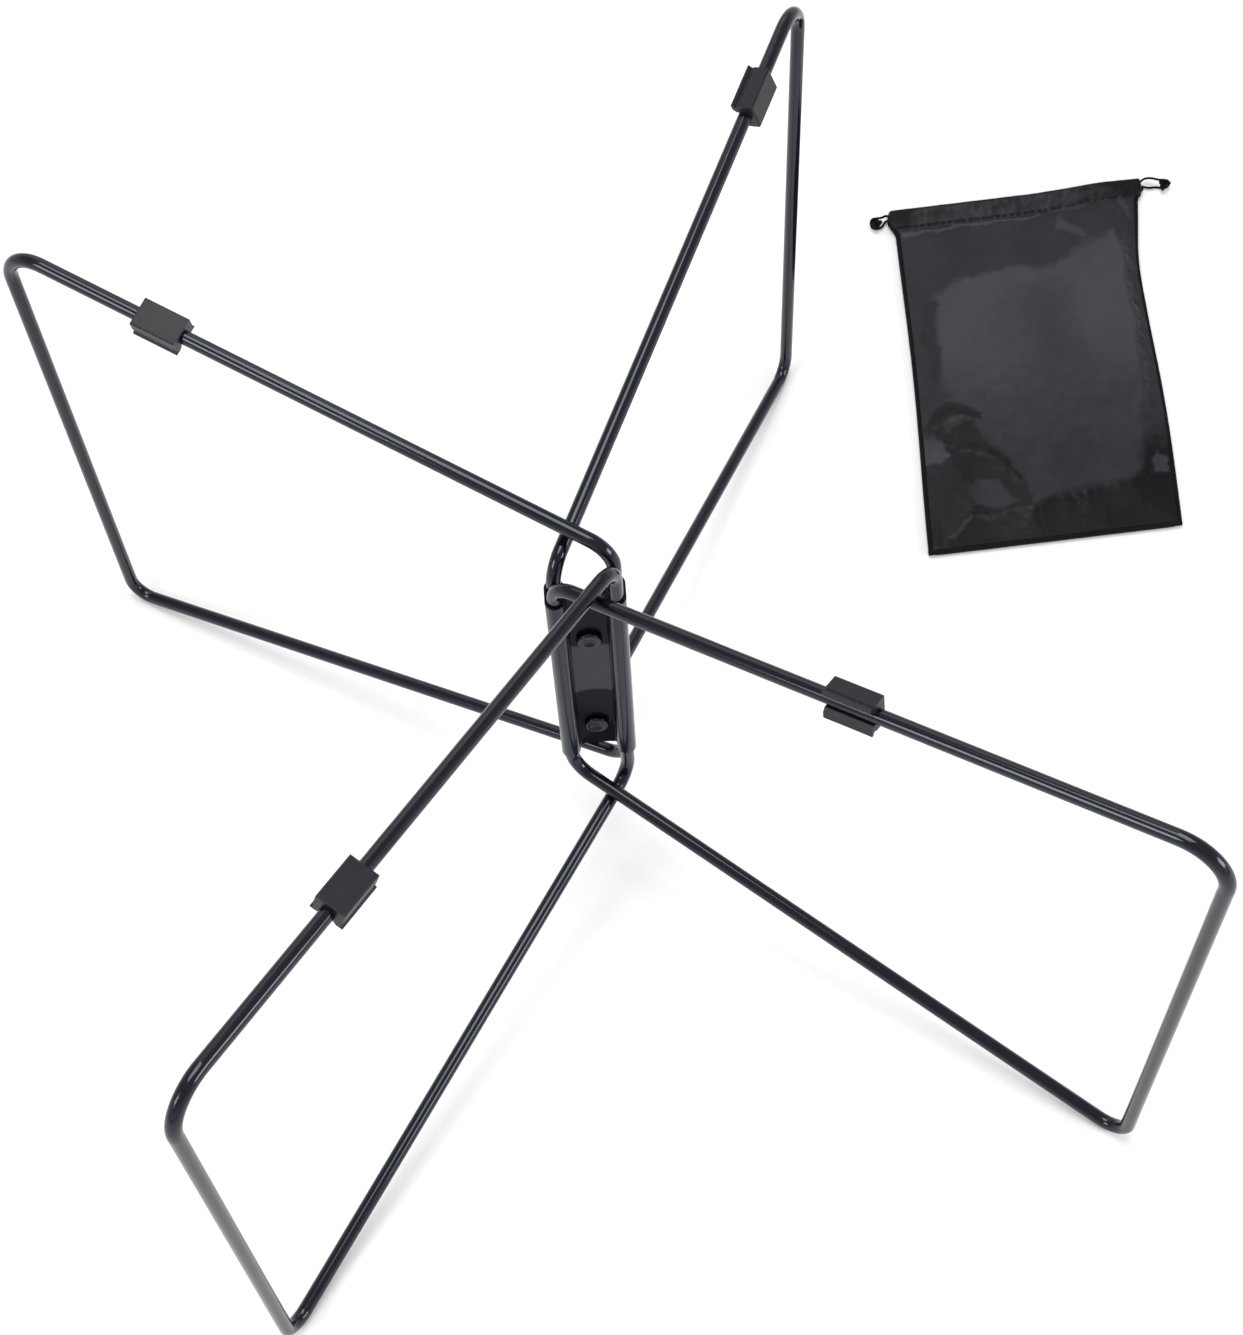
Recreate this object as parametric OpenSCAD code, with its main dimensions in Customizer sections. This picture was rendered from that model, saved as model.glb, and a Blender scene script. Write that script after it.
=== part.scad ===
// Folding wire stand with four leaves on a riveted sheet-metal hub, and its flat drawstring bag.
// Millimetres, +Z up. The origin is on the floor, on the hub's centre line; the viewer is at -Y.

/* [Wire leaves] */
// Diameter of the wire
wire_d = 5; // [4:0.5:6]
// From the hinged riser to the outer leg, between centre lines
leaf_length = 228; // [200:1:260]
// Height of the outer leg, between the corners of the centre line
leg_height = 212; // [195:1:235]
// Height of the riser of the two short leaves, corner to corner
short_riser = 118; // [117:1:124]
// Least gap where a short leaf crosses a tall one, measured at the risers
crossing_gap = 3; // [2:0.5:5]
// Bend radius of the centre line at the riser
riser_bend = 10; // [8:0.5:10]
// Bend radius at the top of the outer leg
leg_top_bend = 14; // [9:1:18]
// Bend radius at the foot of the outer leg
leg_foot_bend = 8; // [6:1:12]

/* [Leaf angles at rest] */
// Front right leaf, from the hub's plane
front_right_angle = 37; // [32:1:60]
// Front left leaf
front_left_angle = 55.5; // [32:0.5:70]
// Rear right leaf
rear_right_angle = 64; // [60:1:70]
// Rear left leaf
rear_left_angle = 30.5; // [28:0.5:60]

/* [Hub] */
// Height of the two pressed plates
hub_height = 98; // [80:1:99]
// Thickness of the sheet
sheet_t = 0.8; // [0.6:0.1:1]
// Distance from the centre line to each pair of risers
tube_offset = 10; // [9.5:0.25:12]
// Gap between the front and rear riser in one tube
riser_gap = 0.5; // [0.4:0.1:1]
// Radial running clearance round a riser
riser_clearance = 0.08; // [0.05:0.01:0.1]
// Radius where the web turns into a tube
web_fillet = 0.8; // [0.4:0.1:1.2]
// Depth of the curved cut at the top and bottom of the web
web_dip = 0.5; // [0.3:0.1:2.5]

/* [Rivets] */
// Distance between the two rivets
rivet_spacing = 56; // [40:1:64]
// How far the pair of rivets sits below the middle of the hub
rivet_drop = 6; // [0:0.5:8]
// Radius of the shank
rivet_r = 1.95; // [1.5:0.05:2.2]
// Clearance of the shank in its hole
rivet_clearance = 0.05; // [0.02:0.01:0.1]
// Radius of the head
rivet_head_r = 4.4; // [3.6:0.1:4.6]
// Height of the head's rim
rivet_head_t = 2; // [1.4:0.1:2.6]
// Radius of the dimple in the head
rivet_dimple_r = 2.4; // [1.8:0.1:2.6]

/* [Clips] */
// Length along the wire
clip_length = 17; // [14:0.5:20]
// Width across the closed face
clip_width = 10.4; // [9.5:0.1:12]
// From the wire's centre line to the closed face
clip_back = 4.4; // [4:0.1:6]
// From the wire's centre line to the lips
clip_mouth = 3.6; // [3.4:0.1:4.4]
// Clearance of the bore round the wire
clip_clearance = 0.05; // [0.02:0.01:0.1]
// Width of the throat that the wire snaps through
clip_throat = 4.4; // [4:0.1:4.6]
// How far each lip flares out past the wall
lip_flare = 0.6; // [0.3:0.1:1]
// Chamfer on the clip's edges
clip_chamfer = 0.5; // [0.3:0.1:0.8]
// Distance of the rear left clip along its wire, from the corner above the riser
rear_left_clip_at = 168; // [110:1:200]
// Rear right clip
rear_right_clip_at = 187; // [110:1:200]
// Front left clip
front_left_clip_at = 148; // [110:1:200]
// Front right clip
front_right_clip_at = 112; // [110:1:200]
// Turn of the front right clip round its wire
front_right_clip_roll = -100; // [-130:5:-80]
// Turn of the rear right clip
rear_right_clip_roll = 75; // [-90:5:90]
// Turn of the front left clip
front_left_clip_roll = -15; // [-45:5:45]
// Turn of the rear left clip
rear_left_clip_roll = -15; // [-45:5:45]

/* [Carry bag] */
// Width at the bottom
bag_bottom_width = 103; // [90:1:112]
// Width at the mouth
bag_mouth_width = 110; // [104:1:118]
// Length from the bottom to the mouth
bag_length = 184; // [160:1:200]
// Thickness of each half as it lies
bag_half_t = 2.3; // [2.1:0.1:3]
// Width of the side seams
seam_width = 2.5; // [2:0.5:4]
// Height of the side seams
seam_t = 4; // [3:0.5:4.5]
// Depth of the cord casings at the mouth
casing_depth = 11; // [9:0.5:14]
// Middle of the bag's bottom edge, from the origin
bag_x = 189; // [189:0.5:220]
// The same, to the rear
bag_y = 109; // [108.5:0.5:130]
// Turn of the bag on the floor
bag_turn = 3; // [0:0.5:10]
// How far the mouth has slipped sideways as the soft bag lies
bag_skew = 22; // [0:1:24]

/* [Drawcords] */
// Diameter of the cord
cord_d = 1; // [0.8:0.1:1.2]
// Clearance round a cord in its casing
cord_clearance = 0.15; // [0.1:0.05:0.3]
// Distance between the two cords in a casing
cord_pitch = 3.2; // [2.4:0.1:5]
// From the mouth's edge to the middle of the two cords
cord_inset = 3.5; // [2.8:0.1:8]
// Radius of a knot
knot_r = 3; // [2.8:0.1:3.5]
// How far a cord's two cut ends stand out of its knot
tail_length = 0.6; // [0.4:0.1:2]

/* [Hidden] */
$fn = 64;
eps = 0.01;
bend_lap = 0.3;
bend_swell = 0.01;

wire_r = wire_d / 2;
bore_r = wire_r + riser_clearance;
tube_r = bore_r + sheet_t;
riser_y = wire_r + riser_gap / 2;
crossing_step = wire_d + crossing_gap;
tall_riser = short_riser + 2 * crossing_step;

// A leaf is drawn in its own plane, x outward from the riser and y up, with the foot on the floor.
function wire_slope(riser) = atan((leg_height - riser) / 2 / leaf_length);
function bend_reach(radius, turn) = radius * tan(turn / 2);
function foot_level(riser) =
    wire_r + leg_foot_bend - bend_reach(leg_foot_bend, 90 + wire_slope(riser));
function leaf_middle(riser) = foot_level(riser) + leg_height / 2;
hub_middle = (leaf_middle(short_riser) + leaf_middle(tall_riser)) / 2;

web_half = tube_offset - tube_r;
web_cut_r = (web_half * web_half + web_dip * web_dip) / (2 * web_dip);

clip_bore_r = wire_r + clip_clearance;
throat_flare = 1.3;
clip_half = clip_width / 2;

layer_gap = 0.2;
bag_stack = 2 * bag_half_t + layer_gap;
panel_length = bag_length - casing_depth;
cord_level = bag_half_t / 2;
mouth_level = bag_stack / 2;

// The cord's way out of the front casing, round the inside of its knot and back into the rear casing,
// measured from the casing's end.
left_cord_route = [
    [0, 0, 3.65], [0.9, 0.1, 3.65], [1.8, 0.45, 3.75], [2.8, 0.9, 3.95], [3.8, 0.85, 4.2], [4.8, 0.3, 4.5],
    [5.8, -0.3, 4.8], [7.1, -0.6, 5.05], [8.5, -0.7, 5.1], [10, -0.85, 4.5], [10.6, -1, 3], [10, -1.2, 1.5],
    [8.5, -1.4, 0.9], [7, -1.5, 1.5], [6.4, -1.7, 3], [7, -1.9, 4.5], [8.5, -2.1, 5.1], [10, -2.4, 4.5],
    [10.6, -2.6, 3], [10, -2.8, 1.5], [8.5, -3, 0.9], [7.1, -3, 0.9], [5.9, -2.3, 0.9], [4.9, -1.15, 0.9],
    [4, 0, 0.9], [3, 0.8, 0.95], [1.9, 0.9, 1], [0.9, 0.4, 1.1], [0, 0, 1.15]
];
right_cord_route = [
    [0, 0, 3.65], [0.8, 0.45, 3.65], [1.8, 1.25, 3.65], [3, 1.75, 3.65], [4.4, 1.8, 3.7], [5.7, 1.35, 3.9],
    [6.9, 0.5, 4.2], [8, -0.5, 4.6], [9.2, -1.3, 5.1], [10.6, -1.8, 5.3], [12.2, -2.1, 4.6], [12.9, -2.3, 3],
    [12.2, -2.5, 1.4], [10.6, -2.5, 0.7], [9.2, -2.1, 0.75], [8, -1.7, 0.8], [6.8, -1.55, 0.9],
    [5.4, -1.55, 0.9], [3.9, -1.3, 0.9], [2.6, -0.85, 0.95], [1.3, -0.3, 1.05], [0, 0, 1.15]
];
left_knot_at = [8.5, -1.8];
right_knot_at = [10.6, -2.3];
// Directions of each knot's two cut ends, from the line that leaves the hem.
left_tails = [60, -85];
right_tails = [15, -115];

// ---- wire leaves ----

// A straight run reaches a little way into the bend at each end, which is a hair thicker, as at a real bend.
module straight_wire(from, to) {
    run = to - from;
    translate([from[0], from[1], 0])
        rotate([0, 0, atan2(run[1], run[0])])
            translate([-bend_lap, 0, 0])
                rotate([0, 90, 0])
                    cylinder(d = wire_d, h = norm(run) + 2 * bend_lap);
}

module wire_bend(centre, radius, start, sweep) {
    translate([centre[0], centre[1], 0])
        rotate([0, 0, start])
            rotate_extrude(angle = sweep)
                translate([radius, 0])
                    circle(r = wire_r + bend_swell);
}

// One closed loop of wire: riser, top wire, outer leg and bottom wire.
module wire_loop(riser) {
    slope = wire_slope(riser);
    along = [cos(slope), sin(slope)];
    back = [-cos(slope), sin(slope)];
    foot = [leaf_length, foot_level(riser)];
    head = foot + [0, leg_height];
    riser_top = [0, leaf_middle(riser) + riser / 2];
    riser_foot = [0, leaf_middle(riser) - riser / 2];
    inner = bend_reach(riser_bend, 90 - slope);
    outer_top = bend_reach(leg_top_bend, 90 + slope);
    outer_foot = bend_reach(leg_foot_bend, 90 + slope);

    straight_wire(riser_foot + [0, inner], riser_top - [0, inner]);
    wire_bend(riser_top + [riser_bend, -inner], riser_bend, 90 + slope, 90 - slope);
    straight_wire(riser_top + inner * along, head - outer_top * along);
    wire_bend(head - [leg_top_bend, outer_top], leg_top_bend, 0, 90 + slope);
    straight_wire(head - [0, outer_top], foot + [0, outer_foot]);
    wire_bend(foot + [-leg_foot_bend, outer_foot], leg_foot_bend, -(90 + slope), 90 + slope);
    straight_wire(foot + outer_foot * back, riser_foot - inner * back);
    wire_bend(riser_foot + [riser_bend, inner], riser_bend, 180, 90 - slope);
}

// side is 1 for a leaf that reaches to the right and -1 to the left; depth is 1 at the rear and -1 in front.
// A leaf hangs in the tube on the far side of the hub, so the pairs cross.
module place_leaf(side, depth, angle) {
    translate([-side * tube_offset, depth * riser_y, 0])
        rotate([0, 0, side > 0 ? depth * angle : 180 - depth * angle])
            children();
}

module leaf(side, depth, angle, riser) {
    color([0.07, 0.07, 0.09])
        place_leaf(side, depth, angle)
            rotate([90, 0, 0])
                wire_loop(riser);
}

// ---- hub ----

module tube_outline(radius, reach) {
    translate([0, -riser_y])
        circle(r = radius);
    translate([-radius, -riser_y])
        square([2 * radius, riser_y + reach]);
}

// The outline of the front plate, seen from above: two troughs joined by a flat web.
module plate_outline() {
    difference() {
        union() {
            for (side = [-1, 1])
                translate([side * tube_offset, 0])
                    tube_outline(tube_r, 0);
            translate([-web_half - eps, -sheet_t])
                square([2 * web_half + 2 * eps, sheet_t]);
            for (side = [-1, 1])
                web_corner(side);
        }
        for (side = [-1, 1])
            translate([side * tube_offset, 0])
                tube_outline(bore_r, 1);
    }
}

module web_corner(side) {
    difference() {
        translate([side * (web_half - web_fillet / 2), -sheet_t - web_fillet / 2])
            square(web_fillet + 2 * eps, center = true);
        translate([side * (web_half - web_fillet), -sheet_t - web_fillet])
            circle(r = web_fillet);
    }
}

module hub_plate() {
    color([0.08, 0.08, 0.1])
        difference() {
            translate([0, 0, hub_middle - hub_height / 2])
                linear_extrude(hub_height)
                    plate_outline();
            for (end = [-1, 1])
                translate([0, 0, hub_middle + end * (hub_height / 2 + web_cut_r - web_dip)])
                    rotate([90, 0, 0])
                        cylinder(r = web_cut_r, h = 2 * sheet_t + 2 * web_fillet, center = true, $fn = 96);
            for (end = [-1, 1])
                translate([0, 0, hub_middle - rivet_drop + end * rivet_spacing / 2])
                    rotate([90, 0, 0])
                        cylinder(r = rivet_r + rivet_clearance, h = 4 * sheet_t, center = true);
        }
}

module rivet_head() {
    rim = rivet_head_t / 2;
    rotate_extrude()
        difference() {
            union() {
                square([rivet_head_r - rim, rivet_head_t]);
                translate([rivet_head_r - rim, rim])
                    circle(r = rim);
            }
            translate([-rivet_head_r, -rivet_head_t])
                square([rivet_head_r, 3 * rivet_head_t]);
            translate([0, rivet_head_t + rivet_dimple_r])
                circle(r = sqrt(2) * rivet_dimple_r);
        }
}

module rivet(end) {
    color([0.1, 0.1, 0.12])
        translate([0, 0, hub_middle - rivet_drop + end * rivet_spacing / 2])
            rotate([90, 0, 0]) {
                cylinder(r = rivet_r, h = 2 * sheet_t, center = true);
                translate([0, 0, sheet_t])
                    rivet_head();
                mirror([0, 0, 1])
                    translate([0, 0, sheet_t])
                        rivet_head();
            }
}

// ---- clips ----

// Seen along the wire: closed face up, bore round the wire and a throat that opens down between two lips.
module clip_outline() {
    groove = -wire_r / 2;
    lip = groove - 2 * clip_chamfer;
    difference() {
        polygon([
            [-clip_half + clip_chamfer, clip_back], [clip_half - clip_chamfer, clip_back],
            [clip_half, clip_back - clip_chamfer], [clip_half, groove],
            [clip_half - clip_chamfer, groove - clip_chamfer], [clip_half - clip_chamfer, lip],
            [clip_half + lip_flare, -clip_mouth + clip_chamfer], [clip_half + lip_flare, -clip_mouth],
            [-clip_half - lip_flare, -clip_mouth], [-clip_half - lip_flare, -clip_mouth + clip_chamfer],
            [-clip_half + clip_chamfer, lip], [-clip_half + clip_chamfer, groove - clip_chamfer],
            [-clip_half, groove], [-clip_half, clip_back - clip_chamfer]
        ]);
        circle(r = clip_bore_r);
        translate([-clip_throat / 2, -clip_mouth - eps])
            square([clip_throat, clip_mouth + eps]);
        polygon([
            [-clip_throat / 2, -wire_r], [clip_throat / 2, -wire_r],
            [clip_throat / 2 + throat_flare, -clip_mouth - eps], [-clip_throat / 2 - throat_flare, -clip_mouth - eps]
        ]);
    }
}

module clip_block() {
    half = clip_length / 2;
    intersection() {
        rotate([90, 0, 90])
            linear_extrude(clip_length, center = true)
                clip_outline();
        rotate([90, 0, 0])
            linear_extrude(3 * clip_width, center = true)
                polygon([
                    [-half, -clip_mouth - 1], [half, -clip_mouth - 1],
                    [half, clip_back - clip_chamfer], [half - clip_chamfer, clip_back],
                    [clip_chamfer - half, clip_back], [-half, clip_back - clip_chamfer]
                ]);
    }
}

module clip(side, depth, angle, riser, at, roll) {
    slope = wire_slope(riser);
    color([0.16, 0.16, 0.17])
        place_leaf(side, depth, angle)
            translate([at * cos(slope), 0, leaf_middle(riser) + riser / 2 + at * sin(slope)])
                rotate([0, -slope, 0])
                    rotate([roll, 0, 0])
                        clip_block();
}

// ---- bag ----

module place_bag() {
    translate([bag_x, bag_y, 0])
        rotate([0, 0, bag_turn])
            children();
}

// Middle and half width of the bag at a distance from the bottom edge.
function bag_mid(at) = bag_skew * at / bag_length;
function bag_half(at) = (bag_bottom_width + (bag_mouth_width - bag_bottom_width) * at / bag_length) / 2;

module bag_slab(from, to, inset, level, thickness) {
    low = bag_half(from) - inset;
    high = bag_half(to) - inset;
    color([0.17, 0.17, 0.19])
        place_bag()
            translate([0, 0, level])
                linear_extrude(thickness)
                    polygon([
                        [bag_mid(from) - low, from], [bag_mid(from) + low, from],
                        [bag_mid(to) + high, to], [bag_mid(to) - high, to]
                    ]);
}

module bag_side_seam(side) {
    low = side * bag_half(0);
    high = bag_mid(panel_length) + side * bag_half(panel_length);
    color([0.13, 0.13, 0.14])
        place_bag()
            linear_extrude(seam_t)
                polygon([
                    [low, 0], [high, panel_length],
                    [high - side * seam_width, panel_length], [low - side * seam_width, 0]
                ]);
}

module bag_bottom_seam() {
    low = bag_half(0) - seam_width;
    high = bag_half(seam_width) - seam_width;
    shift = bag_mid(seam_width);
    color([0.13, 0.13, 0.14])
        place_bag()
            linear_extrude(seam_t)
                polygon([[-low, 0], [low, 0], [shift + high, seam_width], [shift - high, seam_width]]);
}

function cord_at(row) = bag_length - cord_inset + row * cord_pitch / 2;

module casing(level) {
    difference() {
        bag_slab(panel_length, bag_length, 0, level, bag_half_t);
        place_bag()
            for (row = [-1, 1])
                translate([bag_mid(bag_length), cord_at(row), level + cord_level])
                    rotate([0, 90, 0])
                        cylinder(r = cord_d / 2 + cord_clearance, h = 2 * bag_mouth_width, center = true, $fn = 32);
    }
}

// The two runs of one cord through the casings, joined by the turn round the far side of the mouth.
module drawcord(side) {
    row = side;
    near = bag_half(cord_at(row));
    low_level = cord_level;
    high_level = bag_stack - cord_level;
    turn = (high_level - low_level) / 2;
    turn_lap = 0.05;
    color([0.06, 0.06, 0.06])
        place_bag()
            translate([bag_mid(cord_at(row)), cord_at(row), 0]) {
                for (level = [low_level, high_level])
                    translate([-near - (side > 0 ? turn_lap : 0), 0, level])
                        rotate([0, 90, 0])
                            cylinder(d = cord_d, h = 2 * near + turn_lap, $fn = 32);
                translate([-side * near, 0, mouth_level])
                    rotate([90, 0, 0])
                        rotate([0, 0, side > 0 ? 90 : -90])
                            rotate_extrude(angle = 180, $fn = 32)
                                translate([turn, 0])
                                    circle(r = cord_d / 2 + bend_swell);
            }
}

// A tube of eight sides swept along a route that never runs along Y.
module swept_tube(route, radius, sides = 8) {
    last = len(route) - 1;
    rings = [
        for (i = [0:last])
            let (
                way = route[min(i + 1, last)] - route[max(i - 1, 0)],
                ahead = way / norm(way),
                across = cross([0, 1, 0], ahead) / norm(cross([0, 1, 0], ahead)),
                up = cross(ahead, across)
            )
            for (k = [0:sides - 1])
                route[i] + radius * (cos(360 * k / sides) * across + sin(360 * k / sides) * up)
    ];
    walls = [
        for (i = [0:last - 1])
            for (k = [0:sides - 1])
                for (half = [0, 1])
                    let (
                        a = i * sides + k,
                        b = i * sides + (k + 1) % sides
                    )
                    half == 0 ? [a, b, b + sides] : [a, b + sides, a + sides]
    ];
    ends = concat(
        [for (k = [1:sides - 2]) [0, k + 1, k]],
        [for (k = [1:sides - 2]) [last * sides, last * sides + k, last * sides + k + 1]]
    );
    polyhedron(points = rings, faces = [for (face = concat(walls, ends)) [face[2], face[1], face[0]]]);
}

module place_cord_end(side) {
    place_bag()
        translate([bag_mid(cord_at(side)) + side * bag_half(cord_at(side)), cord_at(side), 0])
            mirror([side < 0 ? 1 : 0, 0, 0])
                children();
}

module cord_loop(side, route) {
    color([0.06, 0.06, 0.06])
        place_cord_end(side)
            swept_tube(route, cord_d / 2);
}

module cord_knot(side, at, tails) {
    color([0.03, 0.03, 0.03])
        place_cord_end(side)
            translate([at[0], at[1], knot_r]) {
                sphere(r = knot_r, $fn = 48);
                for (turn = tails)
                    rotate([0, 90, turn])
                        cylinder(d = 2 * cord_d, h = knot_r + tail_length, $fn = 32);
            }
}

hub_plate();  // hub_front_plate
mirror([0, 1, 0]) hub_plate();  // hub_rear_plate
rivet(1);  // upper_rivet
rivet(-1);  // lower_rivet

leaf(1, -1, front_right_angle, short_riser);  // front_right_leaf
leaf(-1, -1, front_left_angle, tall_riser);  // front_left_leaf
leaf(1, 1, rear_right_angle, short_riser);  // rear_right_leaf
leaf(-1, 1, rear_left_angle, tall_riser);  // rear_left_leaf

clip(1, -1, front_right_angle, short_riser, front_right_clip_at, front_right_clip_roll);  // front_right_clip
clip(-1, -1, front_left_angle, tall_riser, front_left_clip_at, front_left_clip_roll);  // front_left_clip
clip(1, 1, rear_right_angle, short_riser, rear_right_clip_at, rear_right_clip_roll);  // rear_right_clip
clip(-1, 1, rear_left_angle, tall_riser, rear_left_clip_at, rear_left_clip_roll);  // rear_left_clip

bag_slab(seam_width, panel_length, seam_width, bag_stack - bag_half_t, bag_half_t);  // bag_front_panel
bag_slab(seam_width, panel_length, seam_width, 0, bag_half_t);  // bag_rear_panel
bag_side_seam(-1);  // bag_left_seam
bag_side_seam(1);  // bag_right_seam
bag_bottom_seam();
casing(bag_stack - bag_half_t);  // bag_front_casing
casing(0);  // bag_rear_casing
drawcord(-1);  // left_drawcord
drawcord(1);  // right_drawcord
cord_loop(-1, left_cord_route);  // left_cord_loop
cord_loop(1, right_cord_route);  // right_cord_loop
cord_knot(-1, left_knot_at, left_tails);  // left_cord_knot
cord_knot(1, right_knot_at, right_tails);  // right_cord_knot
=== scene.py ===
# %% [markdown]
# # A folding wire stand and its carry bag
# Four bent-wire loops fold on a pressed-steel hub, and each carries one plastic clip. Beside them lies
# the flat bag that the folded stand goes into. The metal and the clips come as finished solids from the
# CAD frame, so the work here is their paint and plastic, and the soft pieces: the bag's cloth, seams and
# cords.

# %% Load the frame
import math

import bmesh
import bpy
from mathutils import Matrix, Vector, noise


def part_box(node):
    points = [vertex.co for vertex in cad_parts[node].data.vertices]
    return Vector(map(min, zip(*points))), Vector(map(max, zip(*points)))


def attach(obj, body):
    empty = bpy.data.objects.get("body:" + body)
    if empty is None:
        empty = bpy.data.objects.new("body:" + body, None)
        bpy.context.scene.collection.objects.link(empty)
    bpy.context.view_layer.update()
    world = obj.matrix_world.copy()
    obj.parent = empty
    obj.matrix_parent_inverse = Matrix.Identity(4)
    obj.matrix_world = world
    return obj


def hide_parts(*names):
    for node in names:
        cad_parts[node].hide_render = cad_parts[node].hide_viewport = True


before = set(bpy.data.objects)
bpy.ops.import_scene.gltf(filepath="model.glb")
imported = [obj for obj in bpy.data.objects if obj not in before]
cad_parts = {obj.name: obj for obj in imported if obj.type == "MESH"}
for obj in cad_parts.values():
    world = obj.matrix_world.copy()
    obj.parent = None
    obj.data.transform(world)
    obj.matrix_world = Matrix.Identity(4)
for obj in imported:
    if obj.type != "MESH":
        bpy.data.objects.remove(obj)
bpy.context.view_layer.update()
MM = 0.001

# %% [markdown]
# ## The camera
# The stand is seen from well above its front. A camera matrix is built from three directions: where the
# lens looks, what lies to its right and what lies above it. A small roll turns the view about the lens
# axis.

# %% Camera
camera_place = Vector((0.0087, -0.4139, 0.7868))
camera_azimuth = math.radians(3.48)
camera_elevation = math.radians(58.08)
camera_roll = math.radians(-7.24)

ahead = Vector((
    -math.sin(camera_azimuth) * math.cos(camera_elevation),
    math.cos(camera_azimuth) * math.cos(camera_elevation),
    -math.sin(camera_elevation),
))
level_right = ahead.cross(Vector((0, 0, 1))).normalized()
level_up = level_right.cross(ahead)
right = level_right * math.cos(camera_roll) + level_up * math.sin(camera_roll)
up = right.cross(ahead)

camera = bpy.data.objects.new("camera", bpy.data.cameras.new("camera"))
camera.matrix_world = Matrix.Translation(camera_place) @ Matrix((right, up, -ahead)).transposed().to_4x4()
camera.data.lens = 62.52
camera.data.shift_x = 0.0599
camera.data.shift_y = -0.0116
bpy.context.scene.collection.objects.link(camera)
bpy.context.scene.camera = camera
print("camera looks along", tuple(round(x, 3) for x in ahead))

# %% [markdown]
# ## The bag's own frame
# The bag lies turned a little on the floor, and its mouth is pushed sideways, so it is easiest to work in
# its own frame: x across it, y from the bottom seam to the mouth, and z up. One matrix takes that frame to
# the object's frame.

# %% Bag frame
bag_length = 184 * MM
bag_skew = 22 * MM
bag_turn = math.radians(3)
bag_frame = Matrix.Translation((189 * MM, 109 * MM, 0)) @ Matrix.Rotation(bag_turn, 4, "Z")


def bag_middle(along):
    """x of the bag's middle line, along from the bottom seam."""
    return bag_skew * along / bag_length


def bag_half_width(along):
    return (103 + 7 * along / bag_length) / 2 * MM


print("mouth is", round(2 * bag_half_width(bag_length) / MM), "mm wide")

# %% [markdown]
# ## The drawcord's ends
# Each cord leaves the hem as two strands, goes through its knot and turns back, so the free part is one
# small loop. A curve with a round bevel is the natural way to make a cord: its line is the route, and its
# bevel depth is half the cord's thickness. The points are those of the solid cord in millimetres, in its
# own small frame at the hem's end.

# %% Cord routes
cord_thickness = 1 * MM
cord_inset = 3.5 * MM
cord_pitch = 3.2 * MM
cord_exit_height = 3.65 * MM
left_route = [
    (0, 0, 3.65), (0.9, 0.1, 3.65), (1.8, 0.45, 3.75), (2.8, 0.9, 3.95), (3.8, 0.85, 4.2),
    (4.8, 0.3, 4.5), (5.8, -0.3, 4.8), (7.1, -0.6, 5.05), (8.5, -0.7, 5.1), (10, -0.85, 4.5),
    (10.6, -1, 3), (10, -1.2, 1.5), (8.5, -1.4, 0.9), (7, -1.5, 1.5), (6.4, -1.7, 3),
    (7, -1.9, 4.5), (8.5, -2.1, 5.1), (10, -2.4, 4.5), (10.6, -2.6, 3), (10, -2.8, 1.5),
    (8.5, -3, 0.9), (7.1, -3, 0.9), (5.9, -2.3, 0.9), (4.9, -1.15, 0.9), (4, 0, 0.9),
    (3, 0.8, 0.95), (1.9, 0.9, 1), (0.9, 0.4, 1.1), (0, 0, 1.15),
]
right_route = [
    (0, 0, 3.65), (0.8, 0.45, 3.65), (1.8, 1.25, 3.65), (3, 1.75, 3.65), (4.4, 1.8, 3.7),
    (5.7, 1.35, 3.9), (6.9, 0.5, 4.2), (8, -0.5, 4.6), (9.2, -1.3, 5.1), (10.6, -1.8, 5.3),
    (12.2, -2.1, 4.6), (12.9, -2.3, 3), (12.2, -2.5, 1.4), (10.6, -2.5, 0.7), (9.2, -2.1, 0.75),
    (8, -1.7, 0.8), (6.8, -1.55, 0.9), (5.4, -1.55, 0.9), (3.9, -1.3, 0.9), (2.6, -0.85, 0.95),
    (1.3, -0.3, 1.05), (0, 0, 1.15),
]


def cord_end_frame(side):
    """The frame in which a cord's free end is drawn: x away from the hem, on either side."""
    along = bag_length - cord_inset + side * cord_pitch / 2
    across = bag_middle(along) + side * bag_half_width(along)
    flip = Matrix.Scale(-1, 4, (1, 0, 0)) if side < 0 else Matrix.Identity(4)
    return bag_frame @ Matrix.Translation((across, along, 0)) @ flip


def tube_curve(name, points, thickness, closed=False):
    """A round cord along points, as a smooth curve."""
    data = bpy.data.curves.new(name, "CURVE")
    data.dimensions = "3D"
    data.bevel_depth = thickness / 2
    data.bevel_resolution = 4
    data.resolution_u = 4
    data.use_fill_caps = not closed
    spline = data.splines.new("BEZIER")
    spline.use_cyclic_u = closed
    spline.bezier_points.add(len(points) - 1)
    for knot, point in zip(spline.bezier_points, points):
        knot.co = point
        knot.handle_left_type = knot.handle_right_type = "AUTO"
    cord = bpy.data.objects.new(name, data)
    bpy.context.scene.collection.objects.link(cord)
    return cord


cords = {}
for side, name, route in ((-1, "left", left_route), (1, "right", right_route)):
    place = cord_end_frame(side)
    cords[name] = tube_curve(name + "_cord", [place @ (Vector(p) * MM) for p in route], cord_thickness)
    length = sum((Vector(b) - Vector(a)).length for a, b in zip(route, route[1:]))
    print(name, "cord's free loop is", round(length, 1), "mm long")

# %% [markdown]
# ## The knots
# Both strands of a cord are tied together in one overhand knot. A trefoil is the overhand knot with its
# ends joined, and it has a simple formula, so a closed curve along it, drawn twice the cord's size and
# pulled tight, gives the knot's three lobes. The two cut ends are tucked against two of the lobes.

# %% Knots


def trefoil(turn):
    return Vector((
        math.sin(turn) + 2 * math.sin(2 * turn),
        math.cos(turn) - 2 * math.cos(2 * turn),
        -1.5 * math.sin(3 * turn),
    ))


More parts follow.
